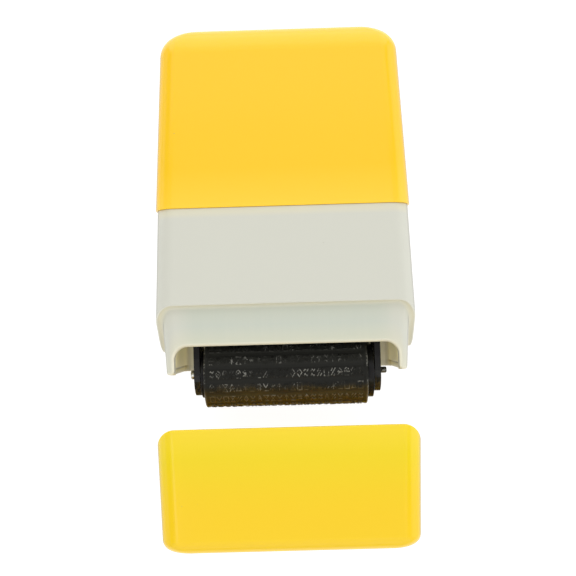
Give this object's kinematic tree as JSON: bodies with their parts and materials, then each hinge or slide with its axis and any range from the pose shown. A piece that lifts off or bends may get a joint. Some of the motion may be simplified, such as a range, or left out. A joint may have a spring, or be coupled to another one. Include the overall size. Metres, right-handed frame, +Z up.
{
  "type": "privacy roller stamp",
  "caption": "Hand roller stamp that prints a masking pattern: inked rubber roller in a moulded housing, with a refill cover and a pull-off end cap.",
  "frame": {"origin": "middle of the footprint, on the surface that the stamp and its cap lie on", "axes": "+X across the stamp, +Y along it towards the top of the yellow cover, +Z up out of its front face"},
  "size_m": [0.0602, 0.1212, 0.0296],
  "materials": {
    "ivory_plastic": "moulded, satin gloss",
    "yellow_plastic": "moulded, glossy",
    "black_plastic": "moulded, wetted by ink",
    "drum_plastic": "moulded",
    "inked_rubber": "wet with ink",
    "seal_rubber": "soft, matt",
    "steel": "drawn wire",
    "ink_foam": "open-cell foam soaked with ink",
    "ink_felt": "pressed felt soaked with ink"
  },
  "bodies": {
    "root": {"main_housing": "ivory_plastic", "roller_frame": "black_plastic", "ink_tank": "black_plastic", "tank_lid": "black_plastic", "tank_gasket": "seal_rubber", "ink_sponge": "ink_foam", "ink_felt": "ink_felt", "print_axle": "steel", "ink_axle": "steel", "washer_left": "steel", "washer_right": "steel"},
    "cover_body": {"upper_cover": "yellow_plastic"},
    "cap_body": {"cap": "yellow_plastic"},
    "plug_body": {"filler_plug": "seal_rubber"},
    "print_roller": {"print_drum": "drum_plastic", "hub_left": "black_plastic", "hub_right": "black_plastic", "rubber_sleeve": "inked_rubber"},
    "ink_roller": {"ink_core": "drum_plastic", "ink_foam": "ink_foam"}
  },
  "joints": [
    {"name": "cap_slide", "type": "slide", "parent": "root", "child": "cap_body", "axis": [0, 1, 0], "range_m": [0, 0.0276]},
    {"name": "cover_pull", "type": "slide", "parent": "root", "child": "cover_body", "axis": [0, 1, 0], "range_m": [0, 0.03]},
    {"name": "plug_pull", "type": "slide", "parent": "root", "child": "plug_body", "axis": [0, 1, 0], "range_m": [0, 0.008]},
    {"name": "print_roll", "type": "hinge", "parent": "root", "child": "print_roller", "pos_m": [0, -0.02095, 0.0148], "axis": [1, 0, 0], "continuous": true},
    {"name": "ink_roll", "type": "hinge", "parent": "root", "child": "ink_roller", "pos_m": [0, -0.00565, 0.0148], "axis": [1, 0, 0], "continuous": true}
  ],
  "couplings": [
    {"joint": "ink_roll", "follows": "print_roll", "ratio": -1.1429}
  ]
}
